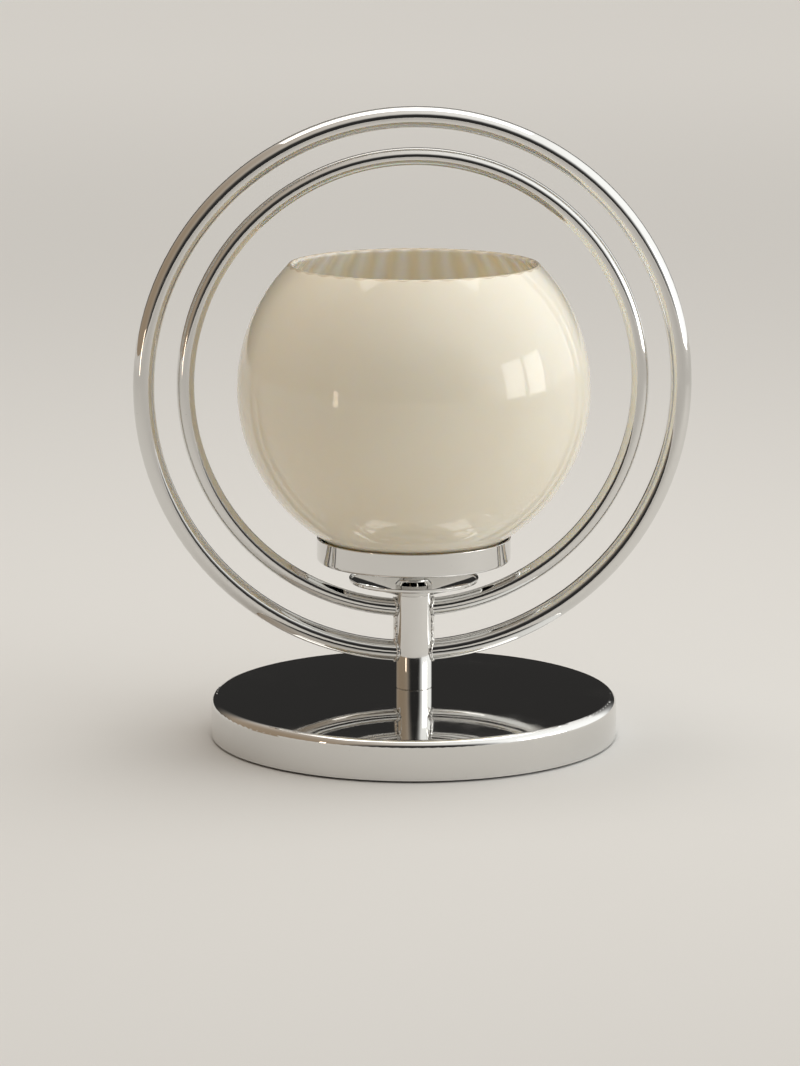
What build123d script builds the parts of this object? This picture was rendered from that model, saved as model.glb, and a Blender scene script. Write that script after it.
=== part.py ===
from build123d import *
import os
from math import cos, radians, sin, sqrt

# Glass globe table lamp: a weighted round base, a short stem, two concentric
# tube rings brazed to the stem, and an open-topped opal globe standing in a
# shallow cup. Millimetres, +Z up. The origin is the centre of the underside,
# the rings lie in the XZ plane and the front faces -Y.

os.makedirs("parts", exist_ok=True)

# ---- driving dimensions -----------------------------------------------------
# base
BASE_D = 232.0
BASE_TOP_Z = 27.5        # flat land that the stem stands on
BASE_FLAT = 29.5         # how far the land reaches beyond the stem
BASE_CROWN = 4.3         # rise of the top from its edge to the land
BASE_CORNER = 4.2        # rounding between the side and the top
BASE_SHEET = 1.5
SHELL_LIFT = 1.2         # the shell stops this far above the table
FELT_T = 2.0
COVER_T = 0.8
COVER_CLEARANCE = 0.15
WEIGHT_MARGIN = 20.0     # from the base's side
WEIGHT_T = 8.0
WEIGHT_GAP = 1.5         # under the shell, at the weight's rim
WEIGHT_CHAMFER = 2.0
WEIGHT_BOSS = 3.0        # boss beyond the stem

# cord inlet, in the back of the base
INLET_LIFT = 0.8         # its flange above the shell's lower edge
INLET_BORE_D = 7.0
INLET_WALL = 1.5
INLET_FLANGE = 2.0
INLET_FLANGE_T = 1.2
INLET_SNAP = 0.7
INLET_SNAP_T = 1.5

# threaded tube that pulls the stack together
ROD_D = 10.0
ROD_BORE_D = 7.0
ROD_HOLE_CLEARANCE = 0.25
ROD_BELOW_NUT = 1.0
ROD_IN_HOLDER = 8.0
NUT_AF = 17.0
NUT_T = 4.0
WASHER_D = 24.0
WASHER_T = 1.0

# stem
STEM_D = 21.0
STEM_WALL = 1.5
STEM_CHAMFER = 0.4
PLUG_LENGTH = 10.0

# rings
OUTER_TUBE_D = 12.0
INNER_TUBE_D = 10.0
GLOBE_GAP = 24.0         # between the globe and the inner ring
RING_GAP = 12.5          # between the rings
RING_FOOT_RISE = 15.3    # outer ring's lowest point above the base's land
RING_OFFSET = 1.5        # inner ring's centre above the outer ring's
RING_WALL = 1.0
BRAZE_WIDTH = 1.4
BRAZE_HEIGHT = 0.7

# saucer and spacer under the cup
SAUCER_CLEARANCE = 3.5   # above the inner ring's foot
SAUCER_D = 74.0
SAUCER_FLOOR_MARGIN = 1.0
SAUCER_CONE = 7.4        # rise of its cone
SAUCER_LIP = 2.0         # height of its upright lip
SAUCER_SHEET = 1.0
SPACER_LENGTH = 18.6
SPACER_WAIST = 2.2       # how deep its waist is turned

# cup
CUP_NECK_GAP = 4.25      # between the glass neck and the cup's wall
CUP_HEIGHT = 13.5
CUP_SHEET = 1.0
CUP_CORNER = 1.8
PAD_T = 1.5
PAD_MARGIN = 1.5         # pad outside the glass neck
PAD_WIDTH = 6.5
CLIP_COUNT = 3
CLIP_WIDTH = 9.0
CLIP_HEIGHT = 7.5
CLIP_LIFT = 1.0
CLIP_T = 0.5
CLIP_CLEARANCE = 0.3

# globe
GLOBE_D = 200.0
GLOBE_WALL = 3.0
GLOBE_MOUTH_D = 141.0    # outside diameter where the sphere is cut
GLOBE_LIP_ROUND = 1.3
NECK_D = 100.0
NECK_HEIGHT = 9.5
NECK_ROUND = 3.0
NECK_FOOT_ROUND = 0.8
FLUTE_COUNT = 36         # upright flutes round the inside
FLUTE_R = 20.0
FLUTE_DEPTH = 0.6        # at the widest circle
FLUTE_SHIFT = 0.5        # deepens them towards the mouth, shallows them towards the neck

# lampholder
HOLDER_D = 40.0
HOLDER_WALL = 2.2
HOLDER_BOSS_D = 16.0
HOLDER_BOSS_H = 3.5
HOLDER_CAP_H = 17.5
HOLDER_SKIRT_H = 32.0
CORE_CLEARANCE = 0.8
CORE_T = 11.5
CORE_ABOVE_CAP = 3.5
CONTACT_HEIGHT = 1.5
CONTACT_WIDTH = 8.0
CONTACT_SPAN = 22.0
CONTACT_T = 0.5
SCREW_SHELL_T = 0.4
SCREW_SHELL_BELOW_COLLAR = 2.2
TERMINAL_SPACING = 20.0
TERMINAL_D = 4.0
TERMINAL_HEAD_D = 6.5
TERMINAL_HEAD_T = 1.6
TERMINAL_LENGTH = 3.6

# bulb
BULB_D = 60.0
BULB_GLASS_T = 1.0
BULB_SHOULDER = 35.0     # degrees below the widest circle where the taper starts
BULB_NECK_STEP = 0.3     # neck outside the cap's thread
BULB_NECK_IN_CAP = 3.0
CAP_D = 26.4             # over the thread
CAP_LENGTH = 19.7        # from the tip to the collar, for a bulb of 105 mm
CAP_SHEET = 0.4
CAP_BOTTOM_D = 21.0
CAP_BOTTOM_H = 2.0
THREAD_CLEARANCE = 0.1
TIP_D = 9.0
TIP_T = 1.3
TIP_INSULATOR_T = 2.7

EPS = 1.0                # how far a cutting solid runs past what it cuts

# ---- sizes that follow ------------------------------------------------------
BASE_R = BASE_D / 2
LAND_R = STEM_D / 2 + BASE_FLAT
ROD_HOLE_R = ROD_D / 2 + ROD_HOLE_CLEARANCE
INLET_BODY_D = INLET_BORE_D + 2 * INLET_WALL
INLET_FLANGE_D = INLET_BODY_D + 2 * INLET_FLANGE
INLET_Z = SHELL_LIFT + INLET_LIFT + INLET_FLANGE_D / 2
GLOBE_R = GLOBE_D / 2
NECK_R = NECK_D / 2
INNER_RING_D = GLOBE_D + 2 * GLOBE_GAP + 2 * INNER_TUBE_D
OUTER_RING_D = INNER_RING_D + 2 * RING_GAP + 2 * OUTER_TUBE_D
CUP_D = NECK_D + 2 * CUP_NECK_GAP + 2 * CUP_SHEET
BULB_NECK_R = CAP_D / 2 + BULB_NECK_STEP

# heights, from the base up
OUTER_RING_Z = BASE_TOP_Z + RING_FOOT_RISE + OUTER_RING_D / 2
INNER_RING_Z = OUTER_RING_Z + RING_OFFSET
STEM_TOP_Z = INNER_RING_Z - INNER_RING_D / 2 + INNER_TUBE_D + SAUCER_CLEARANCE
SAUCER_INSIDE_Z = STEM_TOP_Z + SAUCER_SHEET
CUP_Z = SAUCER_INSIDE_Z + SPACER_LENGTH
CUP_FLOOR_Z = CUP_Z + CUP_SHEET
PAD_TOP_Z = CUP_FLOOR_Z + PAD_T
GLOBE_Z = PAD_TOP_Z + NECK_HEIGHT + sqrt(GLOBE_R**2 - NECK_R**2)
HOLDER_Z = CUP_FLOOR_Z + WASHER_T + NUT_T
CORE_TOP_Z = HOLDER_Z + HOLDER_CAP_H + CORE_ABOVE_CAP
BULB_TIP_Z = CORE_TOP_Z + CONTACT_HEIGHT
COLLAR_Z = BULB_TIP_Z + CAP_LENGTH


# ---- helpers ----------------------------------------------------------------
def turned(corners, roundings):
    """Solid turned about Z from (radius, height) corners, with {corner: radius} rounded."""
    face = make_face(Polyline(*corners, close=True))
    for index, radius in roundings.items():
        corner = face.vertices().sort_by_distance(Vector(*corners[index]))[0]
        face = fillet(corner, radius)
    return revolve(Plane.XZ * face, Axis.Z)


def disc(diameter, bottom, height):
    return Pos(0, 0, bottom) * Cylinder(
        diameter / 2, height, align=(Align.CENTER, Align.CENTER, Align.MIN))


def washer(diameter, hole, bottom, height):
    return disc(diameter, bottom, height) - disc(hole, bottom - EPS, height + 2 * EPS)


def hex_nut(bottom):
    flat = RegularPolygon(NUT_AF / 2, 6, major_radius=False)
    body = Pos(0, 0, bottom) * extrude(flat, NUT_T)
    body = chamfer(body.edges().group_by(Axis.Z)[-1], NUT_T / 10)
    return body - disc(ROD_D, bottom - EPS, NUT_T + 2 * EPS)


# ---- base -------------------------------------------------------------------
def crown_z(radius, inset):
    """Height of the crowned top at a radius, for a skin set in from the outside."""
    reach = BASE_R - LAND_R
    crown_r = (reach**2 + BASE_CROWN**2) / (2 * BASE_CROWN)
    return BASE_TOP_Z - crown_r + sqrt((crown_r - inset)**2 - (radius - LAND_R)**2)


def crowned_disc(inset, bottom):
    """The base's outer form, or the same form shrunk by a sheet thickness."""
    side = BASE_R - inset
    middle = (side + LAND_R) / 2
    corner = (side, crown_z(side, inset))
    top = BASE_TOP_Z - inset
    face = make_face(Curve() + [
        Polyline((0, bottom), (side, bottom), corner),
        ThreePointArc(corner, (middle, crown_z(middle, inset)), (LAND_R, top)),
        Polyline((LAND_R, top), (0, top), (0, bottom)),
    ])
    face = fillet(face.vertices().sort_by_distance(Vector(*corner))[0], BASE_CORNER - inset)
    return revolve(Plane.XZ * face, Axis.Z)


def base_shell():
    shell = crowned_disc(0, SHELL_LIFT) - crowned_disc(BASE_SHEET, SHELL_LIFT - EPS)
    shell -= disc(2 * ROD_HOLE_R, BASE_TOP_Z - 2 * BASE_SHEET, 4 * BASE_SHEET)
    return shell - inlet_cylinder(INLET_BODY_D, BASE_R - 2 * BASE_SHEET, BASE_R + EPS)


def weight_bottom():
    rim_r = BASE_R - WEIGHT_MARGIN
    return crown_z(rim_r, BASE_SHEET) - WEIGHT_GAP - WEIGHT_T


def base_weight():
    """A cast disc with a boss that reaches up to the shell under the stem."""
    bottom = weight_bottom()
    body = disc(BASE_D - 2 * WEIGHT_MARGIN, bottom, WEIGHT_T)
    body = chamfer(body.edges().group_by(Axis.Z)[-1], WEIGHT_CHAMFER)
    body += disc(STEM_D + 2 * WEIGHT_BOSS, bottom, BASE_TOP_Z - BASE_SHEET - bottom)
    return body - disc(2 * ROD_HOLE_R, 0, BASE_TOP_Z)


def base_underside(bottom, thickness):
    """A disc that closes the shell from below."""
    return disc(BASE_D - 2 * BASE_SHEET - 2 * COVER_CLEARANCE, bottom, thickness)


def inlet_cylinder(diameter, start, end):
    """A cylinder along +Y on the cord inlet's axis."""
    middle = Pos(0, (start + end) / 2, INLET_Z)
    return middle * Rot(90, 0, 0) * Cylinder(diameter / 2, end - start)


def cord_bush():
    wall_in = BASE_R - BASE_SHEET
    inner_end = wall_in - INLET_SNAP_T
    outer_end = BASE_R + INLET_FLANGE_T
    flange = inlet_cylinder(INLET_FLANGE_D, BASE_R - EPS, outer_end) - disc(BASE_D, 0, BASE_TOP_Z)
    snap = inlet_cylinder(INLET_BODY_D + 2 * INLET_SNAP, inner_end, wall_in)
    snap &= disc(2 * wall_in, 0, BASE_TOP_Z)
    body = inlet_cylinder(INLET_BODY_D, inner_end, outer_end) + flange + snap
    return body - inlet_cylinder(INLET_BORE_D, inner_end - EPS, outer_end + EPS)


# ---- stem and threaded tube -------------------------------------------------
def tie_rod():
    bottom = weight_bottom() - WASHER_T - NUT_T - ROD_BELOW_NUT
    return washer(ROD_D, ROD_BORE_D, bottom, HOLDER_Z + ROD_IN_HOLDER - bottom)


def stem_tube():
    tube = disc(STEM_D, BASE_TOP_Z, STEM_TOP_Z - BASE_TOP_Z)
    tube = chamfer(tube.edges().filter_by(GeomType.CIRCLE), STEM_CHAMFER)
    return tube - disc(STEM_D - 2 * STEM_WALL, BASE_TOP_Z - EPS, STEM_TOP_Z)


def stem_plug(bottom):
    return washer(STEM_D - 2 * STEM_WALL, 2 * ROD_HOLE_R, bottom, PLUG_LENGTH)


# ---- rings ------------------------------------------------------------------
def ring_form(ring_d, tube_d, centre_z, grow):
    """A full ring in the XZ plane, its tube thickened by grow all round."""
    centreline = (ring_d - tube_d) / 2
    return Pos(0, 0, centre_z) * Rot(90, 0, 0) * Torus(centreline, tube_d / 2 + grow)


def ring_tube(ring_d, tube_d, centre_z):
    """The ring as a bent tube, its two ends coped to the stem's side."""
    tube = ring_form(ring_d, tube_d, centre_z, 0) - ring_form(ring_d, tube_d, centre_z, -RING_WALL)
    return tube - disc(STEM_D, 0, centre_z)


def braze(ring_d, tube_d, centre_z, side):
    """The fillet of braze round one coped end, a saddle between tube and stem."""
    low = centre_z - ring_d / 2 - tube_d
    collar = ring_form(ring_d, tube_d, centre_z, BRAZE_HEIGHT)
    collar &= disc(STEM_D + 2 * BRAZE_WIDTH, low, 3 * tube_d)
    collar -= disc(STEM_D, low - EPS, 3 * tube_d + 2 * EPS)
    collar -= ring_form(ring_d, tube_d, centre_z, 0)
    half = Box(STEM_D, 2 * STEM_D, 6 * tube_d, align=(Align.MIN, Align.CENTER, Align.CENTER))
    turn = 0 if side > 0 else 180
    return collar & (Pos(0, 0, low) * Rot(0, 0, turn) * half)


# ---- saucer, spacer and cup -------------------------------------------------
def saucer():
    floor_r = STEM_D / 2 + SAUCER_FLOOR_MARGIN
    rim_r = SAUCER_D / 2
    knee = STEM_TOP_Z + SAUCER_CONE
    lip = knee + SAUCER_LIP
    corners = [
        (ROD_HOLE_R, STEM_TOP_Z), (floor_r, STEM_TOP_Z), (rim_r, knee), (rim_r, lip),
        (rim_r - SAUCER_SHEET, lip), (rim_r - SAUCER_SHEET, knee + SAUCER_SHEET / 2),
        (floor_r, SAUCER_INSIDE_Z), (ROD_HOLE_R, SAUCER_INSIDE_Z),
    ]
    lip_round = SAUCER_SHEET * 0.4
    return turned(corners, {2: SAUCER_SHEET * 1.2, 3: lip_round, 4: lip_round})


def spacer():
    """Turned column between the saucer and the cup, with a waist."""
    half = STEM_D / 2
    waist = half - SPACER_WAIST
    low = SAUCER_INSIDE_Z
    corners = [
        (ROD_HOLE_R, low), (half, low), (half, low + SPACER_LENGTH / 4),
        (waist, low + SPACER_LENGTH / 4 + SPACER_WAIST),
        (waist, low + SPACER_LENGTH * 3 / 4 - SPACER_WAIST),
        (half, low + SPACER_LENGTH * 3 / 4), (half, low + SPACER_LENGTH),
        (ROD_HOLE_R, low + SPACER_LENGTH),
    ]
    return turned(corners, {3: SPACER_WAIST, 4: SPACER_WAIST})


def cup():
    out_r = CUP_D / 2
    in_r = out_r - CUP_SHEET
    top = CUP_Z + CUP_HEIGHT
    corners = [(ROD_HOLE_R, CUP_Z), (out_r, CUP_Z), (out_r, top), (in_r, top),
               (in_r, CUP_FLOOR_Z), (ROD_HOLE_R, CUP_FLOOR_Z)]
    lip_round = CUP_SHEET * 0.4
    return turned(corners, {1: CUP_CORNER, 2: lip_round, 3: lip_round, 4: CUP_CORNER - CUP_SHEET})


def cup_pad():
    outside = NECK_D + 2 * PAD_MARGIN
    return washer(outside, outside - 2 * PAD_WIDTH, CUP_FLOOR_Z, PAD_T)


def glass_clip(index):
    """A bowed leaf between the cup's wall and the glass neck."""
    wall_r = CUP_D / 2 - CUP_SHEET
    glass_r = NECK_R + CLIP_CLEARANCE
    bottom = PAD_TOP_Z + CLIP_LIFT
    top = bottom + CLIP_HEIGHT
    middle = (bottom + top) / 2
    outer = ThreePointArc((wall_r, bottom), (glass_r + CLIP_T, middle), (wall_r, top))
    inner = ThreePointArc((wall_r, top + CLIP_T), (glass_r, middle), (wall_r, bottom - CLIP_T))
    ends = [Line((wall_r, top), (wall_r, top + CLIP_T)),
            Line((wall_r, bottom - CLIP_T), (wall_r, bottom))]
    face = Plane.XZ * make_face(Curve() + [outer, inner] + ends)
    leaf = extrude(face, CLIP_WIDTH / 2, both=True)
    leaf &= disc(2 * wall_r, CUP_Z, 2 * CUP_HEIGHT)
    return Rot(0, 0, 90 + index * 360 / CLIP_COUNT) * leaf


# ---- globe ------------------------------------------------------------------
def flute_cutter(index):
    """A ring that touches the inside along two opposite meridians, deepest at the mouth."""
    centreline = GLOBE_R - GLOBE_WALL + FLUTE_DEPTH - FLUTE_R
    turn = (index + 0.5) * 360 / FLUTE_COUNT
    return Pos(0, 0, GLOBE_Z + FLUTE_SHIFT) * Rot(90, 0, turn) * Torus(centreline, FLUTE_R)


def globe():
    """Sphere open at the top, with a short straight neck below and a fluted inside."""
    out_r = GLOBE_R
    in_r = GLOBE_R - GLOBE_WALL
    neck_in = NECK_R - GLOBE_WALL
    lip_z = GLOBE_Z + sqrt(out_r**2 - (GLOBE_MOUTH_D / 2)**2)
    lip_in = sqrt(in_r**2 - (lip_z - GLOBE_Z)**2)
    lip = (GLOBE_MOUTH_D / 2, lip_z)
    inner_lip = (lip_in, lip_z)
    join = (NECK_R, PAD_TOP_Z + NECK_HEIGHT)
    inner_join = (neck_in, GLOBE_Z - sqrt(in_r**2 - neck_in**2))
    foot = (NECK_R, PAD_TOP_Z)
    inner_foot = (neck_in, PAD_TOP_Z)
    outline = Curve() + [
        ThreePointArc(lip, (out_r, GLOBE_Z), join),
        Polyline(join, foot, inner_foot, inner_join),
        ThreePointArc(inner_join, (in_r, GLOBE_Z), inner_lip),
        Line(inner_lip, lip),
    ]
    face = make_face(outline)
    for corner, radius in ((lip, GLOBE_LIP_ROUND), (inner_lip, GLOBE_LIP_ROUND),
                           (join, NECK_ROUND), (inner_join, NECK_ROUND),
                           (foot, NECK_FOOT_ROUND), (inner_foot, NECK_FOOT_ROUND)):
        face = fillet(face.vertices().sort_by_distance(Vector(*corner))[0], radius)
    glass = revolve(Plane.XZ * face, Axis.Z)
    for index in range(FLUTE_COUNT // 2):
        glass -= flute_cutter(index)
    return glass


# ---- lampholder -------------------------------------------------------------
def holder_cap():
    out_r = HOLDER_D / 2
    in_r = out_r - HOLDER_WALL
    boss_r = HOLDER_BOSS_D / 2
    shoulder = HOLDER_Z + HOLDER_BOSS_H
    top = HOLDER_Z + HOLDER_CAP_H
    corners = [(ROD_D / 2, HOLDER_Z), (boss_r, HOLDER_Z), (boss_r, shoulder), (out_r, shoulder),
               (out_r, top), (in_r, top), (in_r, shoulder + HOLDER_WALL),
               (ROD_D / 2, shoulder + HOLDER_WALL)]
    return turned(corners, {3: 2 * HOLDER_WALL, 6: HOLDER_WALL})


def holder_core():
    bottom = CORE_TOP_Z - CORE_T
    inside = HOLDER_D - 2 * HOLDER_WALL
    core_d = inside - 2 * CORE_CLEARANCE
    core = disc(core_d, bottom, CORE_T) + disc(inside, bottom, CORE_T - CORE_ABOVE_CAP)
    return core - Pos(0, 0, bottom) * Box(CONTACT_WIDTH, core_d / 2, CORE_T / 2)


def holder_contact():
    """Sprung centre contact, a bent leaf lying across the core."""
    half = CONTACT_SPAN / 2
    crown = half / 3
    low = CORE_TOP_Z
    high = CORE_TOP_Z + CONTACT_HEIGHT
    top = [(-half, low + CONTACT_T), (-2 * crown, low + CONTACT_T), (-crown, high),
           (crown, high), (2 * crown, low + CONTACT_T), (half, low + CONTACT_T)]
    under = [(half, low), (2 * crown + CONTACT_T, low), (crown, high - CONTACT_T),
             (-crown, high - CONTACT_T), (-2 * crown - CONTACT_T, low), (-half, low)]
    leaf = extrude(Plane.XZ * make_face(Polyline(*top, *under, close=True)),
                   CONTACT_WIDTH / 2, both=True)
    return leaf & disc(CAP_D + 2 * THREAD_CLEARANCE, low, CONTACT_HEIGHT)


def holder_screw_shell():
    inside = CAP_D + 2 * THREAD_CLEARANCE
    height = COLLAR_Z - SCREW_SHELL_BELOW_COLLAR - CORE_TOP_Z
    return washer(inside + 2 * SCREW_SHELL_T, inside, CORE_TOP_Z, height)


def holder_skirt():
    out_r = HOLDER_D / 2
    in_r = out_r - HOLDER_WALL
    bottom = HOLDER_Z + HOLDER_CAP_H
    top = bottom + HOLDER_SKIRT_H
    corners = [(in_r, bottom), (out_r, bottom), (out_r, top), (in_r, top)]
    return turned(corners, {2: HOLDER_WALL * 0.45, 3: HOLDER_WALL * 0.45})


def terminal_screw(side):
    top = CORE_TOP_Z - CORE_T
    shank = disc(TERMINAL_D, top - TERMINAL_LENGTH, TERMINAL_LENGTH)
    head = disc(TERMINAL_HEAD_D, top - TERMINAL_LENGTH, TERMINAL_HEAD_T)
    return Pos(side * TERMINAL_SPACING / 2, 0, 0) * (shank + head)


# ---- bulb -------------------------------------------------------------------
def bulb_skin(inset, bottom):
    """One skin of the bulb's glass: a ball swept by an arc into a straight neck."""
    angle = radians(BULB_SHOULDER)
    ball_r = BULB_D / 2
    sweep_r = (ball_r * cos(angle) - BULB_NECK_R) / (1 - cos(angle))
    sweep_z = COLLAR_Z + BULB_NECK_IN_CAP
    ball_z = sweep_z + (ball_r + sweep_r) * sin(angle)
    neck_r = BULB_NECK_R - inset
    ball = CenterArc((0, ball_z), ball_r - inset, -BULB_SHOULDER, 90 + BULB_SHOULDER)
    sweep = CenterArc((neck_r + sweep_r + inset, sweep_z), sweep_r + inset,
                      180 - BULB_SHOULDER, BULB_SHOULDER)
    sides = Polyline((neck_r, sweep_z), (neck_r, bottom), (0, bottom), ball @ 1)
    return revolve(Plane.XZ * make_face(Curve() + [ball, sweep, sides]), Axis.Z)


def bulb_glass():
    return bulb_skin(0, COLLAR_Z) - bulb_skin(BULB_GLASS_T, COLLAR_Z - EPS)


def bulb_cap():
    """Screw cap of thin sheet, from the collar round the glass down to the insulator."""
    thread_r = CAP_D / 2
    bottom_r = CAP_BOTTOM_D / 2
    rim = COLLAR_Z + BULB_NECK_IN_CAP
    bottom = BULB_TIP_Z + TIP_T + TIP_INSULATOR_T
    corners = [
        (BULB_NECK_R, rim), (BULB_NECK_R + CAP_SHEET, rim), (BULB_NECK_R + CAP_SHEET, COLLAR_Z),
        (thread_r, COLLAR_Z - CAP_SHEET), (thread_r, bottom + CAP_BOTTOM_H), (bottom_r, bottom),
        (TIP_D / 2, bottom), (TIP_D / 2, bottom + CAP_SHEET),
        (bottom_r - CAP_SHEET / 2, bottom + CAP_SHEET),
        (thread_r - CAP_SHEET, bottom + CAP_BOTTOM_H + CAP_SHEET), (thread_r - CAP_SHEET, COLLAR_Z),
        (BULB_NECK_R, COLLAR_Z),
    ]
    return turned(corners, {})


def bulb_insulator():
    low = BULB_TIP_Z + TIP_T
    high = low + TIP_INSULATOR_T
    corners = [(0, low), (TIP_D / 2, low), (CAP_BOTTOM_D / 2, high), (0, high)]
    return turned(corners, {})


def bulb_tip():
    body = disc(TIP_D, BULB_TIP_Z, TIP_T)
    return fillet(body.edges().group_by(Axis.Z)[0], TIP_T * 0.4)


# ---- the lamp ---------------------------------------------------------------
def lamp():
    """Every piece in place, by name."""
    pieces = {
        "base_shell": base_shell(),
        "base_weight": base_weight(),
        "base_cover": base_underside(FELT_T, COVER_T),
        "base_felt": base_underside(0, FELT_T),
        "cord_bush": cord_bush(),
        "tie_rod": tie_rod(),
        "base_washer": washer(WASHER_D, 2 * ROD_HOLE_R, weight_bottom() - WASHER_T, WASHER_T),
        "base_nut": hex_nut(weight_bottom() - WASHER_T - NUT_T),
        "stem_tube": stem_tube(),
        "stem_plug_lower": stem_plug(BASE_TOP_Z),
        "stem_plug_upper": stem_plug(STEM_TOP_Z - PLUG_LENGTH),
        "saucer": saucer(),
        "spacer": spacer(),
        "cup": cup(),
        "cup_pad": cup_pad(),
        "cup_washer": washer(WASHER_D, 2 * ROD_HOLE_R, CUP_FLOOR_Z, WASHER_T),
        "cup_nut": hex_nut(CUP_FLOOR_Z + WASHER_T),
        "holder_cap": holder_cap(),
        "holder_core": holder_core(),
        "holder_contact": holder_contact(),
        "holder_screw_shell": holder_screw_shell(),
        "holder_skirt": holder_skirt(),
        "globe": globe(),
        "bulb_glass": bulb_glass(),
        "bulb_cap": bulb_cap(),
        "bulb_insulator": bulb_insulator(),
        "bulb_tip": bulb_tip(),
    }
    rings = {
        "outer": (OUTER_RING_D, OUTER_TUBE_D, OUTER_RING_Z),
        "inner": (INNER_RING_D, INNER_TUBE_D, INNER_RING_Z),
    }
    sides = {"left": -1, "right": 1}
    for name, sizes in rings.items():
        pieces["ring_" + name] = ring_tube(*sizes)
        for side, sign in sides.items():
            pieces["braze_" + name + "_" + side] = braze(*sizes, sign)
    for side, sign in sides.items():
        pieces["terminal_screw_" + side] = terminal_screw(sign)
    for index in range(CLIP_COUNT):
        pieces["glass_clip_" + str(index + 1)] = glass_clip(index)
    return pieces


for node, solid in lamp().items():
    export_step(solid, os.path.join("parts", node + ".step"))
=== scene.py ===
from math import cos, pi, radians, sin, tan, tau

import bpy
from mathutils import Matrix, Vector


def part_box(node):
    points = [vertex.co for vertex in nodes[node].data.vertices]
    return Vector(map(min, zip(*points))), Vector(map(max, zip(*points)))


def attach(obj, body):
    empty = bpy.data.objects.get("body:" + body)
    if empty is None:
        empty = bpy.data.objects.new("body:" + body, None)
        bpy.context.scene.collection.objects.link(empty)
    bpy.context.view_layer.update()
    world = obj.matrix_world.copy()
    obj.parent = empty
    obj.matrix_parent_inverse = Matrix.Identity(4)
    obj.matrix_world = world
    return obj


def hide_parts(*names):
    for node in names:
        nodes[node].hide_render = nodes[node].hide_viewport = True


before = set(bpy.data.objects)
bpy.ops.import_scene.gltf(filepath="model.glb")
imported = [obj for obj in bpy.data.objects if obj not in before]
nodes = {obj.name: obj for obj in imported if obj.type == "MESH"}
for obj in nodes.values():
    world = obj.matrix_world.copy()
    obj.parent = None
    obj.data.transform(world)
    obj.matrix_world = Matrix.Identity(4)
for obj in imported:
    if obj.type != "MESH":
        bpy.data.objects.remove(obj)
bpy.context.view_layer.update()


# ---- camera -----------------------------------------------------------------
# Stands 2.3 m away, five degrees round to the lamp's left, and looks down on it
# by eleven degrees through a long lens.
camera_distance, camera_height = 2.333, 0.5707
camera_side = radians(5.15)
camera_tilt, camera_turn = 0.19203, 0.00336
camera_data = bpy.data.cameras.new("camera")
camera_data.sensor_fit = "HORIZONTAL"
camera_data.sensor_width = 36
camera_data.lens = 187.9
camera_data.clip_end = 60
camera = bpy.data.objects.new("camera", camera_data)
camera.location = (-camera_distance * sin(camera_side), -camera_distance * cos(camera_side),
                   camera_height)
camera.rotation_euler = (radians(90) - camera_tilt, 0, camera_turn - camera_side)
bpy.context.scene.collection.objects.link(camera)
bpy.context.scene.camera = camera
bpy.context.scene.view_settings.view_transform = "Standard"


# ---- floor and light --------------------------------------------------------
# A plain pale floor in a room that is bright to the right, dim and warm to the
# left, and dark in front and behind. A wide softbox hangs overhead, one of two
# panes stands to the right, and a small warm one to the left.
def clear_selection():
    if bpy.context.object and bpy.context.object.mode == "EDIT":
        bpy.ops.object.mode_set(mode="OBJECT")
    bpy.ops.object.select_all(action="DESELECT")


def add_node(tree, kind, where, **settings):
    """Settings are the node's own properties, or else the values of its inputs."""
    node = tree.nodes.new(kind)
    node.location = where
    for key, value in settings.items():
        if hasattr(node, key):
            setattr(node, key, value)
        else:
            node.inputs[key.replace("_", " ")].default_value = value
    return node


def fade(tree, where, start, end, top=1.0, ease="SMOOTHSTEP"):
    """Rises from nothing at the start to the top at the end."""
    return add_node(tree, "ShaderNodeMapRange", where, interpolation_type=ease, From_Min=start,
                    From_Max=end, To_Max=top)


def wire(tree, *links):
    """Each link is a node and its output, then a node and its input."""
    for giver, output, taker, entry in links:
        tree.links.new(giver.outputs[output], taker.inputs[entry])


def material(name, roughness=0.5, metallic=0.0, **constants):
    """A node material. Constants are values of the shader's own sockets."""
    look = bpy.data.materials.new(name)
    look.use_nodes = True
    shader = look.node_tree.nodes["Principled BSDF"]
    shader.inputs["Roughness"].default_value = roughness
    shader.inputs["Metallic"].default_value = metallic
    for key, value in constants.items():
        shader.inputs[key.replace("_", " ")].default_value = value
    return look


# The paper is painted lighter far off than round the lamp: painted light that makes up for the
# lamps' light falling off with distance.
floor_radius, paper_near, paper_far = 12, 0.8, 5.0
paper_look = material("floor_paper", roughness=0.85, Specular_IOR_Level=0.15)
tree = paper_look.node_tree
place = add_node(tree, "ShaderNodeTexCoord", (-900, 0))
reach = add_node(tree, "ShaderNodeVectorMath", (-700, 0), operation="LENGTH")
painted_fill = fade(tree, (-500, 0), paper_near, paper_far)
paper = add_node(tree, "ShaderNodeMix", (-250, 0), data_type="RGBA",
                 A=(0.665, 0.658, 0.642, 1), B=(0.90, 0.895, 0.88, 1))
wire(tree,
     (place, "Object", reach, 0), (reach, "Value", painted_fill, "Value"),
     (painted_fill, "Result", paper, "Factor"),
     (paper, "Result", tree.nodes["Principled BSDF"], "Base Color"))
clear_selection()
bpy.ops.mesh.primitive_circle_add(vertices=96, radius=floor_radius, fill_type="TRIFAN")
floor = bpy.context.object
floor.name = "floor"
floor.data.materials.append(paper_look)

room = bpy.data.worlds.new("room")
room.use_nodes = True
bpy.context.scene.world = room
tree = room.node_tree
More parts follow.
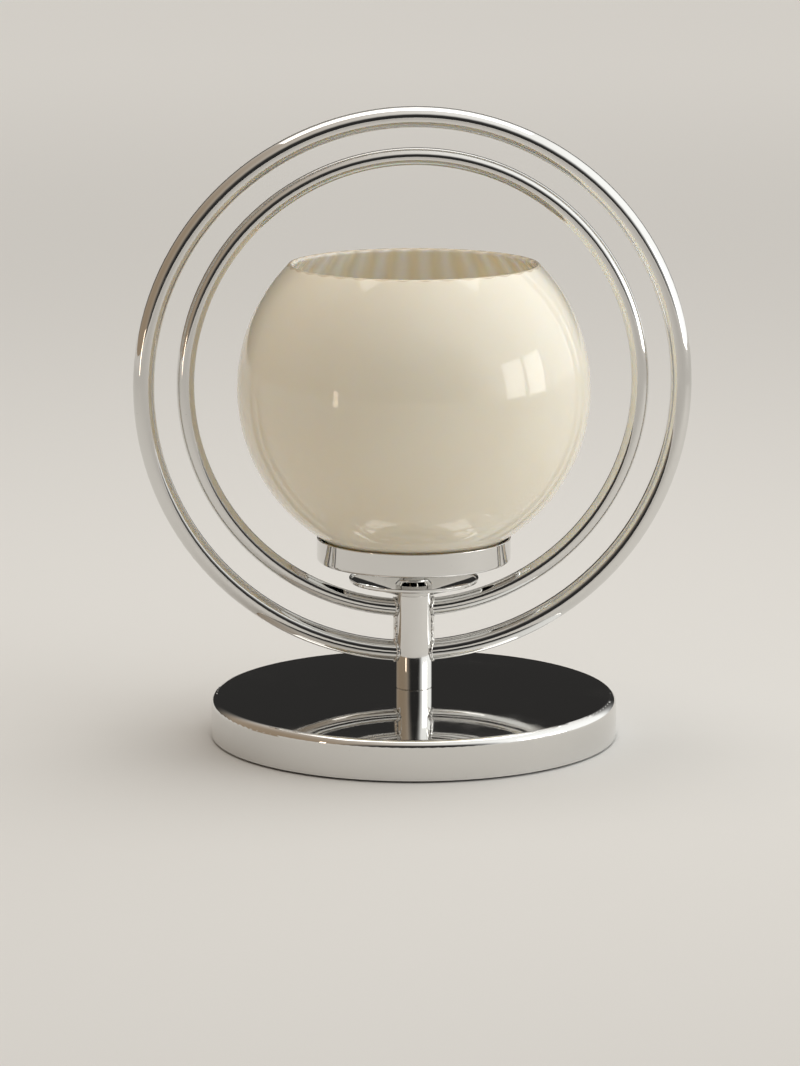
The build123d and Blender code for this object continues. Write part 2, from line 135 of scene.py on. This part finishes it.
# Its front and back walls are dark apart from their tops.
direction = add_node(tree, "ShaderNodeTexCoord", (-1400, 0))
parts = add_node(tree, "ShaderNodeSeparateXYZ", (-1200, 0))
depth = add_node(tree, "ShaderNodeMath", (-1000, 100), operation="ABSOLUTE")
ahead = fade(tree, (-800, 100), 0.58, 0.92)
below = fade(tree, (-800, -200), 0.80, 0.45)
dark = add_node(tree, "ShaderNodeMath", (-600, 0), operation="MULTIPLY")
across = fade(tree, (-800, 400), -1.0, 1.0)
sides = add_node(tree, "ShaderNodeMix", (-400, 300), data_type="RGBA",
                 A=(0.35, 0.27, 0.19, 1), B=(1.32, 1.33, 1.31, 1))
walls = add_node(tree, "ShaderNodeMix", (-200, 0), data_type="RGBA", B=(0.030, 0.029, 0.028, 1))
# Past the floor's edge the camera sees a plain pale backdrop, in the floor's tone.
seen = add_node(tree, "ShaderNodeLightPath", (-200, 300))
backdrop = add_node(tree, "ShaderNodeMix", (0, 0), data_type="RGBA", B=(0.61, 0.585, 0.54, 1))
wire(tree,
     (direction, "Generated", parts, "Vector"),
     (parts, "X", across, "Value"), (across, "Result", sides, "Factor"),
     (parts, "Y", depth, 0), (depth, "Value", ahead, "Value"),
     (parts, "Z", below, "Value"), (ahead, "Result", dark, 0), (below, "Result", dark, 1),
     (sides, "Result", walls, "A"), (dark, "Value", walls, "Factor"),
     (walls, "Result", backdrop, "A"), (seen, "Is Camera Ray", backdrop, "Factor"),
     (backdrop, "Result", tree.nodes["Background"], "Color"))


def softbox(name, place, width, height, brightness, colour, aim=(0, 0, 0.2), spread=pi):
    """A rectangular lamp whose face has this brightness, seen from straight ahead."""
    data = bpy.data.lights.new(name, "AREA")
    data.shape = "RECTANGLE"
    data.size, data.size_y = width, height
    data.energy = brightness * pi * width * height
    # A narrow cone takes less power for the same brightness straight ahead.
    if spread < pi:
        data.spread = spread
        data.energy *= (tan(spread / 2) - spread / 2) / tan(spread / 2)
    data.color = colour
    lamp = bpy.data.objects.new(name, data)
    lamp.location = place
    lamp.rotation_euler = (Vector(aim) - Vector(place)).to_track_quat("-Z", "Y").to_euler()
    lamp.visible_camera = False
    bpy.context.scene.collection.objects.link(lamp)


softbox("overhead", (0.1, 0.35, 1.9), width=2.0, height=1.2, brightness=2.0,
        colour=(1, 0.98, 0.95), aim=(0.1, 0.2, 0.2))
for name, place in (("right_pane", (1.36, -0.72, 0.42)),
                    ("far_right_pane", (1.52, -0.28, 0.42))):
    softbox(name, place, width=0.40, height=0.52, brightness=3.6, colour=(1, 0.98, 0.94),
            spread=radians(90))
softbox("left_strip", (-1.38, -0.97, 0.18), width=0.09, height=0.26, brightness=6.0,
        colour=(1, 0.80, 0.62), spread=radians(90))


# ---- base -------------------------------------------------------------------
# Pressed steel shell with a crowned top, nickel-chromed and polished. A cast disc
# inside gives it its weight, and a plated sheet cover closes it below.
def new_group(name, **inputs):
    """A group that puts out colour, roughness and normal, and the nodes at its ends."""
    group = bpy.data.node_groups.new(name, "ShaderNodeTree")
    for label, value in inputs.items():
        kind = "NodeSocketFloat" if isinstance(value, float) else "NodeSocketColor"
        socket = group.interface.new_socket(label, in_out="INPUT", socket_type=kind)
        socket.default_value = value
    for label, kind in (("Colour", "NodeSocketColor"), ("Roughness", "NodeSocketFloat"),
                        ("Normal", "NodeSocketVector")):
        group.interface.new_socket(label, in_out="OUTPUT", socket_type=kind)
    given = add_node(group, "NodeGroupInput", (-900, 0))
    result = add_node(group, "NodeGroupOutput", (700, 0))
    return group, given, result


def use_group(look, group, **values):
    """Places a group in a material and wires what it puts out to the shader."""
    tree = look.node_tree
    shader = tree.nodes["Principled BSDF"]
    placed = add_node(tree, "ShaderNodeGroup", (-400, 0), node_tree=group)
    for key, value in values.items():
        placed.inputs[key].default_value = value
    wire(tree,
         (placed, "Colour", shader, "Base Color"), (placed, "Roughness", shader, "Roughness"),
         (placed, "Normal", shader, "Normal"))


def finish_node(name, look):
    """Gives a solid of the frame its finish."""
    mesh = nodes[name].data
    mesh.materials.clear()
    mesh.materials.append(look)


# Polished plate is never quite clean: it has wiped-over haze and fine dots of dust,
# and the metal under it ripples a little.
plate, given, result = new_group("plate_marks", Clean=0.03, Hazy=0.14,
                                 Colour=(0.75, 0.75, 0.74, 1), Ripple=0.02)
place = add_node(plate, "ShaderNodeTexCoord", (-1500, 0))
wipe = add_node(plate, "ShaderNodeTexNoise", (-1250, 300), Scale=14.0, Detail=5.0, Distortion=1.2)
haze = fade(plate, (-1000, 300), 0.50, 0.72)
dots = add_node(plate, "ShaderNodeTexVoronoi", (-1250, -100), Scale=260.0)
specks = fade(plate, (-1000, -100), 0.10, 0.05, ease="LINEAR")
settled = add_node(plate, "ShaderNodeTexNoise", (-1250, -350), Scale=40.0, Detail=2.0)
patches = fade(plate, (-1000, -350), 0.55, 0.66, ease="LINEAR")
dust = add_node(plate, "ShaderNodeMath", (-750, -200), operation="MULTIPLY")
marks = add_node(plate, "ShaderNodeMath", (-300, 150), operation="MAXIMUM")
rough = add_node(plate, "ShaderNodeMix", (300, 200), data_type="FLOAT")
dusty = add_node(plate, "ShaderNodeMix", (300, 0), data_type="RGBA", B=(0.50, 0.48, 0.45, 1))
swell = add_node(plate, "ShaderNodeTexNoise", (-1250, -600), Scale=55.0, Detail=1.0)
ripple = add_node(plate, "ShaderNodeBump", (300, -300), Distance=0.0006)
wire(plate,
     (place, "Object", wipe, "Vector"), (wipe, "Fac", haze, "Value"),
     (place, "Object", dots, "Vector"), (dots, "Distance", specks, "Value"),
     (place, "Object", settled, "Vector"), (settled, "Fac", patches, "Value"),
     (specks, "Result", dust, 0), (patches, "Result", dust, 1),
     (haze, "Result", marks, 0), (dust, "Value", marks, 1),
     (given, "Clean", rough, "A"), (given, "Hazy", rough, "B"),
     (marks, "Value", rough, "Factor"),
     (given, "Colour", dusty, "A"), (dust, "Value", dusty, "Factor"),
     (place, "Object", swell, "Vector"), (swell, "Fac", ripple, "Height"),
     (given, "Ripple", ripple, "Strength"),
     (dusty, "Result", result, "Colour"), (rough, "Result", result, "Roughness"),
     (ripple, "Normal", result, "Normal"))


def plated(name, colour=(0.74, 0.735, 0.72, 1), clean=0.03, hazy=0.12, ripple=0.02):
    """Chrome. Its roughness is clean where it shines, and hazy under haze and dust."""
    look = material(name, metallic=1.0)
    use_group(look, plate, Clean=clean, Hazy=hazy, Colour=colour, Ripple=ripple)
    return look


chrome = plated("chrome")
finish_node("base_shell", chrome)

# Rough metal and moulded goods share one grain: cloudy colour and a pitted surface.
grain, given, result = new_group("grain", Colour=(0.5, 0.5, 0.5, 1), Other=(0.4, 0.4, 0.4, 1),
                                 Scale=200.0, Smooth=0.4, Rough=0.6, Depth=0.2)
place = add_node(grain, "ShaderNodeTexCoord", (-900, 300))
cloud = add_node(grain, "ShaderNodeTexNoise", (-600, 200), Detail=6.0, Roughness=0.6)
spread = fade(grain, (-350, 200), 0.35, 0.65, ease="LINEAR")
tint = add_node(grain, "ShaderNodeMix", (300, 200), data_type="RGBA")
rough = add_node(grain, "ShaderNodeMix", (300, 0), data_type="FLOAT")
finer = add_node(grain, "ShaderNodeMath", (-750, -200), operation="MULTIPLY")
finer.inputs[1].default_value = 4.0
fine = add_node(grain, "ShaderNodeTexNoise", (-600, -200), Detail=3.0)
pits = add_node(grain, "ShaderNodeBump", (300, -300), Distance=0.0004)
wire(grain,
     (place, "Object", cloud, "Vector"), (given, "Scale", cloud, "Scale"),
     (cloud, "Fac", spread, "Value"),
     (given, "Colour", tint, "A"), (given, "Other", tint, "B"), (spread, "Result", tint, "Factor"),
     (given, "Smooth", rough, "A"), (given, "Rough", rough, "B"),
     (spread, "Result", rough, "Factor"),
     (place, "Object", fine, "Vector"), (given, "Scale", finer, 0),
     (finer, "Value", fine, "Scale"),
     (fine, "Fac", pits, "Height"), (given, "Depth", pits, "Strength"),
     (tint, "Result", result, "Colour"), (rough, "Result", result, "Roughness"),
     (pits, "Normal", result, "Normal"))


def grained(name, colour, other, scale, smooth, rough, depth, metallic=0.0):
    """A finish that wavers between two colours and from smooth to rough."""
    look = material(name, metallic=metallic)
    use_group(look, grain, Colour=colour, Other=other, Scale=scale, Smooth=smooth, Rough=rough,
              Depth=depth)
    return look


cast_iron = grained("cast_iron", (0.060, 0.060, 0.062, 1), (0.10, 0.097, 0.092, 1),
                    scale=180.0, smooth=0.50, rough=0.78, depth=0.8)
zinc = grained("zinc_steel", (0.60, 0.61, 0.60, 1), (0.50, 0.51, 0.50, 1),
               scale=90.0, smooth=0.28, rough=0.42, depth=0.10, metallic=1.0)
finish_node("base_weight", cast_iron)
for name in ("base_cover", "base_washer", "base_nut"):
    finish_node(name, zinc)


# ---- felt under the base ----------------------------------------------------
# A disc of black pressed wool felt, die-cut and glued to the cover. Its cut edge
# is soft, and its face is uneven where the glue pulled it down.
felt_look = material("felt", roughness=0.95, Sheen_Weight=0.35, Sheen_Roughness=0.5,
                     Specular_IOR_Level=0.1)
tree = felt_look.node_tree
shader = tree.nodes["Principled BSDF"]
place = add_node(tree, "ShaderNodeTexCoord", (-1200, 0))
matted = add_node(tree, "ShaderNodeTexNoise", (-950, 200), Scale=900.0, Detail=8.0, Roughness=0.7,
                  Distortion=1.5)
patches = add_node(tree, "ShaderNodeTexNoise", (-950, -100), Scale=60.0, Detail=4.0)
wool = add_node(tree, "ShaderNodeValToRGB", (-600, 200))
wool.color_ramp.elements[0].position = 0.35
wool.color_ramp.elements[0].color = (0.012, 0.012, 0.013, 1)
wool.color_ramp.elements[1].position = 0.68
wool.color_ramp.elements[1].color = (0.060, 0.058, 0.056, 1)
worn = add_node(tree, "ShaderNodeMix", (-300, 100), data_type="RGBA", blend_type="MULTIPLY",
                Factor=0.5)
nap = add_node(tree, "ShaderNodeBump", (-300, -200), Strength=0.7, Distance=0.0004)
wire(tree,
     (place, "Object", matted, "Vector"), (matted, "Fac", wool, "Fac"),
     (place, "Object", patches, "Vector"),
     (wool, "Color", worn, "A"), (patches, "Color", worn, "B"),
     (matted, "Fac", nap, "Height"),
     (worn, "Result", shader, "Base Color"), (nap, "Normal", shader, "Normal"))


def pick(*pieces):
    """Selects these pieces alone, the first as the active one."""
    clear_selection()
    for piece in pieces:
        piece.select_set(True)
    bpy.context.view_layer.objects.active = pieces[0]


def edit(piece):
    pick(piece)
    bpy.ops.object.mode_set(mode="EDIT")


def outward(piece):
    """Merges doubled points and turns every face outwards."""
    edit(piece)
    bpy.ops.mesh.select_all(action="SELECT")
    bpy.ops.mesh.remove_doubles(threshold=0.000005)
    bpy.ops.mesh.normals_make_consistent(inside=False)
    bpy.ops.object.mode_set(mode="OBJECT")


def modify(piece, kind, **settings):
    """Adds a modifier with these settings."""
    modifier = piece.modifiers.new(kind.lower(), kind)
    for key, value in settings.items():
        setattr(modifier, key, value)


def roughen(piece, lump, depth, middle):
    """Pushes the surface in and out in lumps of about this size."""
    lumps = bpy.data.textures.new(piece.name + "_lumps", "CLOUDS")
    lumps.noise_scale = lump
    modify(piece, "DISPLACE", texture=lumps, texture_coords="LOCAL", strength=depth,
           mid_level=middle)


def apply_all(piece):
    """Applies the place and every modifier, and leaves the piece at the origin."""
    pick(piece)
    for name in [modifier.name for modifier in piece.modifiers]:
        bpy.ops.object.modifier_apply(modifier=name)
    bpy.ops.object.transform_apply(location=True, rotation=True, scale=True)


def smooth(piece, crease=radians(50)):
    """Shades the piece smooth, apart from edges sharper than the crease."""
    pick(piece)
    bpy.ops.object.shade_smooth_by_angle(angle=crease)


def dress(piece, body, slot, look, *replaced):
    """Gives a new piece its finish and its body, and hides the solids that it stands for."""
    piece.data.materials.clear()
    piece.data.materials.append(look)
    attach(piece, body)
    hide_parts(*replaced)


def felt_piece(name, node, hole=0.0):
    """Felt cut as large as the solid, with a soft edge and an uneven face. Its flat
    shape is divided into even rings, from the rim to the hole or to a small hub."""
    cut_inside, hub = 0.0001, 0.0006
    low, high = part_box(node)
    rim, thick = high.x - cut_inside, high.z - low.z
    middle, rings = (hole, 9) if hole else (hub, 40)
    step = (rim - middle) / rings
    clear_selection()
    bpy.ops.mesh.primitive_circle_add(vertices=180, radius=rim, location=(0, 0, low.z))
    piece = bpy.context.object
    piece.name = name
    bpy.ops.object.mode_set(mode="EDIT")
    for ring in range(rings):
        bpy.ops.mesh.extrude_region_move()
        size = (rim - (ring + 1) * step) / (rim - ring * step)
        bpy.ops.transform.resize(value=(size, size, 1))
    if not hole:
        bpy.ops.mesh.fill()
    outward(piece)
    face_down = piece.data.polygons[0].normal.z < 0
    modify(piece, "SOLIDIFY", thickness=thick, offset=-1 if face_down else 1)
    modify(piece, "BEVEL", width=thick * 0.3, segments=3, limit_method="ANGLE")
    apply_all(piece)
    roughen(piece, lump=0.012, depth=0.00025, middle=1.0)
    apply_all(piece)
    smooth(piece)
    return piece


felt_sole = felt_piece("felt_sole", "base_felt")
dress(felt_sole, "lamp", "felt", felt_look, "base_felt")


# ---- cord bush --------------------------------------------------------------
# Soft black rubber ring that snaps into the hole in the back of the shell.
rubber = grained("black_rubber", (0.022, 0.022, 0.022, 1), (0.035, 0.034, 0.033, 1),
                 scale=300.0, smooth=0.55, rough=0.75, depth=0.25)
finish_node("cord_bush", rubber)


# ---- stem and threaded tube -------------------------------------------------
# Chromed steel tube that stands on the shell. A plug in each end centres the zinc
# plated threaded tube, whose nuts clamp the base, stem, saucer and cup together.
finish_node("stem_tube", chrome)
for name in ("stem_plug_lower", "stem_plug_upper", "tie_rod", "cup_washer", "cup_nut"):
    finish_node(name, zinc)


# ---- rings ------------------------------------------------------------------
# Two rings of bent steel tube, chromed after their coped ends were brazed to the
# sides of the stem. Uneven beads show under the plate, and some of the braze ran
# down the stem between them.
tube_chrome = plated("tube_chrome", clean=0.035, hazy=0.11, ripple=0.05)
for name in ("ring_outer", "ring_inner"):
    finish_node(name, tube_chrome)

bead_chrome = plated("bead_chrome", colour=(0.70, 0.69, 0.67, 1), clean=0.10, hazy=0.28,
                     ripple=0.3)


def braze(side, sign):
    """Both fillets of one side, and the metal that ran down the stem between them. The
    run is a flattened column that is sunk a little into the stem's side."""
    overlap, sunk = 0.0015, 0.0003
    run_radius, run_flatness = 0.0036, 0.42
    inner, outer = "braze_inner_" + side, "braze_outer_" + side
    top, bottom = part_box(inner)[0].z + overlap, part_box(outer)[1].z - overlap
    stem_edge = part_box("stem_tube")[1].x
    clear_selection()
    bpy.ops.mesh.primitive_cylinder_add(vertices=32, radius=run_radius, depth=top - bottom,
                                        location=(sign * (stem_edge - sunk), 0, (top + bottom) / 2))
    piece = bpy.context.object
    piece.name = "braze_" + side
    bpy.ops.transform.resize(value=(run_flatness, 1, 1))
    fillets = []
    for name in (inner, outer):
        fillet = bpy.data.objects.new(name + "_copy", nodes[name].data.copy())
        bpy.context.scene.collection.objects.link(fillet)
        outward(fillet)
        fillets.append(fillet)
    pick(piece, *fillets)
    bpy.ops.object.join()
    modify(piece, "REMESH", mode="VOXEL", voxel_size=0.00027)
    roughen(piece, lump=0.0022, depth=0.0009, middle=0.35)
    modify(piece, "SMOOTH", factor=0.5, iterations=6)
    apply_all(piece)
    outward(piece)
    bpy.ops.object.shade_smooth()
    dress(piece, "lamp", "chrome", bead_chrome, inner, outer)


braze("left", -1)
braze("right", 1)


# ---- saucer, spacer and cup -------------------------------------------------
# The saucer is spun and the cup drawn from thin sheet, and the spacer between them
# is a turned column. All three are chromed. Three bowed spring clips in the cup
# hold the neck of the glass.
sheet_chrome = plated("sheet_chrome", clean=0.03, hazy=0.10, ripple=0.04)
for name in ("saucer", "spacer", "cup"):
    finish_node(name, sheet_chrome)

spring_steel = grained("spring_steel", (0.30, 0.31, 0.33, 1), (0.22, 0.22, 0.25, 1),
                       scale=150.0, smooth=0.25, rough=0.40, depth=0.08, metallic=1.0)
for name in ("glass_clip_1", "glass_clip_2", "glass_clip_3"):
    finish_node(name, spring_steel)


# ---- felt pad under the glass -----------------------------------------------
# A ring of the same felt as the sole lies loose on the cup's floor, so that the
# glass neck stands soft.
pad_hole = min(Vector(v.co.xy).length for v in nodes["cup_pad"].data.vertices)
felt_ring = felt_piece("felt_ring", "cup_pad", hole=pad_hole)
dress(felt_ring, "lamp", "felt", felt_look, "cup_pad")


# ---- lampholder -------------------------------------------------------------
# Black phenolic cap and skirt around a porcelain core. The core carries the brass
# screw shell, the sprung centre contact and the two terminal screws.
phenolic = grained("black_phenolic", (0.014, 0.013, 0.013, 1), (0.024, 0.022, 0.021, 1),
                   scale=70.0, smooth=0.18, rough=0.32, depth=0.05)
porcelain = grained("porcelain", (0.78, 0.76, 0.71, 1), (0.70, 0.67, 0.61, 1),
                    scale=120.0, smooth=0.35, rough=0.55, depth=0.12)
brass = grained("brass", (0.78, 0.58, 0.27, 1), (0.60, 0.42, 0.18, 1),
                scale=110.0, smooth=0.20, rough=0.38, depth=0.06, metallic=1.0)
for name in ("holder_cap", "holder_skirt"):
    finish_node(name, phenolic)
finish_node("holder_core", porcelain)
for name in ("holder_contact", "terminal_screw_left", "terminal_screw_right"):
    finish_node(name, brass)


def draw(name, points):
    """A line drawn point by point, from radii and heights, and left in edit mode."""
    clear_selection()
    bpy.ops.mesh.primitive_plane_add(size=0.001)
    piece = bpy.context.object
    piece.name = name
    bpy.ops.object.mode_set(mode="EDIT")
    bpy.ops.mesh.merge(type="CENTER")
    bpy.ops.transform.translate(value=(points[0][0], 0, points[0][1]))
    for before, after in zip(points, points[1:]):
        step = (after[0] - before[0], 0, after[1] - before[1])
        bpy.ops.mesh.extrude_region_move(TRANSFORM_OT_translate={"value": step})
    return piece


# Seven turns of thread to the inch, each drawn in ten steps.
pitch = 0.0254 / 7
wave_steps = 10


def thread(name, low, high, root, crest, wall, side):
    """Sheet rolled to a screw thread, one wave of it wound up by its pitch. Its wall
    lies outside the wave where the side is 1, and inside where it is -1."""
    wave = [(root + (crest - root) * (1 - cos(tau * step / wave_steps)) / 2,
             low + pitch * (step / wave_steps - 1)) for step in range(wave_steps + 1)]
    piece = draw(name, wave)
    bpy.ops.object.mode_set(mode="OBJECT")
    modify(piece, "SCREW", screw_offset=pitch, iterations=int((high - low) / pitch) + 2,
           steps=48, render_steps=48)
    apply_all(piece)
    outward(piece)
    edit(piece)
    for height, inner, outer in ((low, True, False), (high, False, True)):
        bpy.ops.mesh.select_all(action="SELECT")
        bpy.ops.mesh.bisect(plane_co=(0, 0, height), plane_no=(0, 0, 1), clear_inner=inner,
                            clear_outer=outer)
    bpy.ops.object.mode_set(mode="OBJECT")
    outward(piece)
    modify(piece, "SOLIDIFY", thickness=wall, offset=side)
    apply_all(piece)
    return piece


# The wall widens at its cut ends, so both ends are cut 0.3 mm short.
shell_low, shell_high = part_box("holder_screw_shell")
shell_wall, shell_root, end_trim = 0.0004, 0.00125, 0.0003
thread_low = shell_low.z + end_trim
screw_shell = thread("screw_shell", thread_low, shell_high.z - end_trim,
                     shell_high.x - shell_root, shell_high.x - shell_wall, shell_wall, side=1)
smooth(screw_shell)
dress(screw_shell, "lamp", "brass", brass, "holder_screw_shell")


# ---- bulb -------------------------------------------------------------------
# A round frosted bulb with a rolled screw cap, a black glass bead and a solder
# blob for its centre contact.
frosted = material("frosted_glass", roughness=0.32, Subsurface_Weight=0.25,
                   Subsurface_Scale=0.004)
use_group(frosted, grain, Colour=(0.86, 0.86, 0.84, 1), Other=(0.80, 0.80, 0.78, 1), Scale=160.0,
          Smooth=0.26, Rough=0.36, Depth=0.03)
bulb_metal = grained("bulb_metal", (0.74, 0.74, 0.73, 1), (0.62, 0.62, 0.61, 1),
                     scale=140.0, smooth=0.22, rough=0.40, depth=0.06, metallic=1.0)
bead_glass = grained("black_insulator", (0.010, 0.010, 0.013, 1), (0.020, 0.019, 0.024, 1),
                     scale=200.0, smooth=0.10, rough=0.25, depth=0.05)
solder = grained("solder", (0.50, 0.50, 0.52, 1), (0.36, 0.36, 0.37, 1),
                 scale=400.0, smooth=0.35, rough=0.60, depth=0.5, metallic=1.0)
finish_node("bulb_glass", frosted)
finish_node("bulb_insulator", bead_glass)
finish_node("bulb_tip", solder)


def turned(name, outline):
    """A closed outline of radii and heights spun into a ring."""
    piece = draw(name, outline + outline[:1])
    bpy.ops.mesh.select_all(action="SELECT")
    bpy.ops.mesh.spin(steps=64, angle=tau, center=(0, 0, 0), axis=(0, 0, 1))
    bpy.ops.object.mode_set(mode="OBJECT")
    outward(piece)
    return piece


# The cap's thread lies 0.15 mm inside that of the shell and follows the same turns,
# from the second one up. Its foot narrows to the bead, and its collar widens to the
# neck of the glass. Both outlines run round the outside, then back along the inside.
cap_low, cap_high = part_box("bulb_cap")
cap_wall, cap_crest, cap_root = 0.00035, 0.00055, 0.0014
crest_radius, rim_radius = shell_high.x - cap_crest, cap_high.x
bead_radius, bead_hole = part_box("bulb_insulator")[1].x, 0.0045
thread_top = cap_high.z - 0.0032
screw_cap = thread("screw_cap", thread_low + 2 * pitch, thread_top, shell_high.x - cap_root,
                   crest_radius, cap_wall, side=-1)
foot = turned("cap_foot", [
    (bead_hole, cap_low.z), (bead_radius, cap_low.z), (crest_radius - 0.0002, cap_low.z + 0.0019),
    (crest_radius - 0.0005, cap_low.z + 0.0026), (crest_radius - 0.0010, cap_low.z + 0.0026),
    (bead_radius - 0.0002, cap_low.z + 0.0004), (bead_hole, cap_low.z + 0.0004),
])
collar = turned("cap_collar", [
    (crest_radius - 0.0010, cap_high.z - 0.0038), (crest_radius - 0.0003, cap_high.z - 0.0037),
    (crest_radius, cap_high.z - 0.0033), (rim_radius, cap_high.z - 0.0028),
    (rim_radius, cap_high.z - 0.0001), (rim_radius - 0.0001, cap_high.z),
    (rim_radius - 0.0004, cap_high.z), (rim_radius - 0.0004, cap_high.z - 0.0027),
    (crest_radius - 0.0010, cap_high.z - 0.0034),
])
pick(screw_cap, foot, collar)
bpy.ops.object.join()
smooth(screw_cap)
dress(screw_cap, "bulb", "bulb_metal", bulb_metal, "bulb_cap")


# ---- globe ------------------------------------------------------------------
# Mouth-blown opal glass under a clear glossy skin, its inside fluted in a ribbed
# mould. The opal is warm ivory outside. Inside it is painted paler, painted light
# that lifts the shaded hollow, and paler still on the ridges of the flutes. A thin
# brown line of painted shade runs round its ground lip.
flutes_round, flute_shift, flute_sway = 36, -0.8, 1.6
neck_height, neck_to_centre = 0.0095, 0.0866
outer_face, inner_face = 0.0992, 0.0978
lip_start, lip_full, lip_scallop, lip_shade_strength = 0.0009, 0.0004, 0.0003, 0.55
globe_low, globe_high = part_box("globe")
opal = material("opal_glass", roughness=0.05, IOR=1.52, Subsurface_Weight=0.9,
                Subsurface_Scale=0.006, Subsurface_Radius=(1.0, 0.85, 0.65))
tree = opal.node_tree
shader = tree.nodes["Principled BSDF"]
place = add_node(tree, "ShaderNodeTexCoord", (-1700, 0))

# How far a point is from the globe's centre tells the inside from the outside.
centred = add_node(tree, "ShaderNodeMapping", (-1500, 0),
                   Location=(0, 0, -(globe_low.z + neck_height + neck_to_centre)))
far = add_node(tree, "ShaderNodeVectorMath", (-1250, 200), operation="LENGTH")
inside = fade(tree, (-1000, 200), outer_face, inner_face, ease="LINEAR")
wire(tree,
     (place, "Object", centred, "Vector"), (centred, "Vector", far, 0),
     (far, "Value", inside, "Value"))

# The flutes stand at even angles and sway a little on their way up. The shift takes
# back the mean of the sway, so that they stay on those of the solid.
spot = add_node(tree, "ShaderNodeSeparateXYZ", (-1500, 700))
angle = add_node(tree, "ShaderNodeMath", (-1300, 700), operation="ARCTAN2")
turns = add_node(tree, "ShaderNodeMath", (-1100, 700), operation="MULTIPLY_ADD")
turns.inputs[1].default_value = flutes_round
turns.inputs[2].default_value = flute_shift
wander = add_node(tree, "ShaderNodeTexNoise", (-1300, 950), Scale=28.0, Detail=2.0)
sway = add_node(tree, "ShaderNodeMath", (-900, 800), operation="MULTIPLY_ADD")
sway.inputs[1].default_value = flute_sway
crest = add_node(tree, "ShaderNodeMath", (-700, 700), operation="COSINE")
ridge = fade(tree, (-500, 700), -1.0, 1.0)
# Painted paler on the ridges and darker in the valleys: partly the thicker and thinner opal, partly
# painted shade of the flutes.
fluted = add_node(tree, "ShaderNodeMix", (-300, 600), data_type="RGBA",
                  A=(0.905, 0.835, 0.735, 1), B=(0.985, 0.93, 0.865, 1))
wire(tree,
     (place, "Object", spot, "Vector"), (spot, "Y", angle, 0), (spot, "X", angle, 1),
     (angle, "Value", turns, 0), (place, "Object", wander, "Vector"),
     (wander, "Fac", sway, 0), (turns, "Value", sway, 2), (sway, "Value", crest, 0),
     (crest, "Value", ridge, "Value"), (ridge, "Result", fluted, "Factor"))

# Cloudy ivory outside, flutes painted paler inside as painted light, and a brown line
# of painted shade along the lip, which follows the scallops that the flutes cut in it.
cloud = add_node(tree, "ShaderNodeTexNoise", (-1250, -50), Scale=9.0, Detail=3.0)
skin = add_node(tree, "ShaderNodeValToRGB", (-1000, -50))
skin.color_ramp.elements[0].position = 0.35
skin.color_ramp.elements[0].color = (0.835, 0.770, 0.655, 1)
skin.color_ramp.elements[1].position = 0.65
skin.color_ramp.elements[1].color = (0.860, 0.805, 0.700, 1)
core = add_node(tree, "ShaderNodeMix", (-600, 100), data_type="RGBA")
# Painted shade: a brown band just under the lip's edge, its lower edge scalloped with the flutes.
scallop = add_node(tree, "ShaderNodeMath", (-800, -120), operation="MULTIPLY_ADD")
scallop.inputs[1].default_value = lip_scallop
lip = fade(tree, (-600, -120), globe_high.z - lip_start, globe_high.z - lip_full,
           top=lip_shade_strength, ease="LINEAR")
lip_shade = add_node(tree, "ShaderNodeMix", (-350, 100), data_type="RGBA", B=(0.44, 0.35, 0.24, 1))
wire(tree,
     (place, "Object", cloud, "Vector"), (cloud, "Fac", skin, "Fac"),
     (skin, "Color", core, "A"), (fluted, "Result", core, "B"),
     (inside, "Result", core, "Factor"),
     (crest, "Value", scallop, 0), (spot, "Z", scallop, 2), (scallop, "Value", lip, "Value"),
     (core, "Result", lip_shade, "A"), (lip, "Result", lip_shade, "Factor"),
     (lip_shade, "Result", shader, "Base Color"))

# The outside is wavy, as blown glass is, and the flutes are deeper than the solid's.
wave = add_node(tree, "ShaderNodeTexNoise", (-1250, -350), Scale=16.0, Detail=1.0)
ripple = add_node(tree, "ShaderNodeBump", (-500, -300), Strength=0.12, Distance=0.002)
relief = add_node(tree, "ShaderNodeMath", (-500, -500), operation="MULTIPLY")
flutes = add_node(tree, "ShaderNodeBump", (-250, -300), Strength=1.0, Distance=0.0009)
wire(tree,
     (place, "Object", wave, "Vector"), (wave, "Fac", ripple, "Height"),
     (crest, "Value", relief, 0), (inside, "Result", relief, 1),
     (relief, "Value", flutes, "Height"), (ripple, "Normal", flutes, "Normal"),
     (flutes, "Normal", shader, "Normal"))
finish_node("globe", opal)
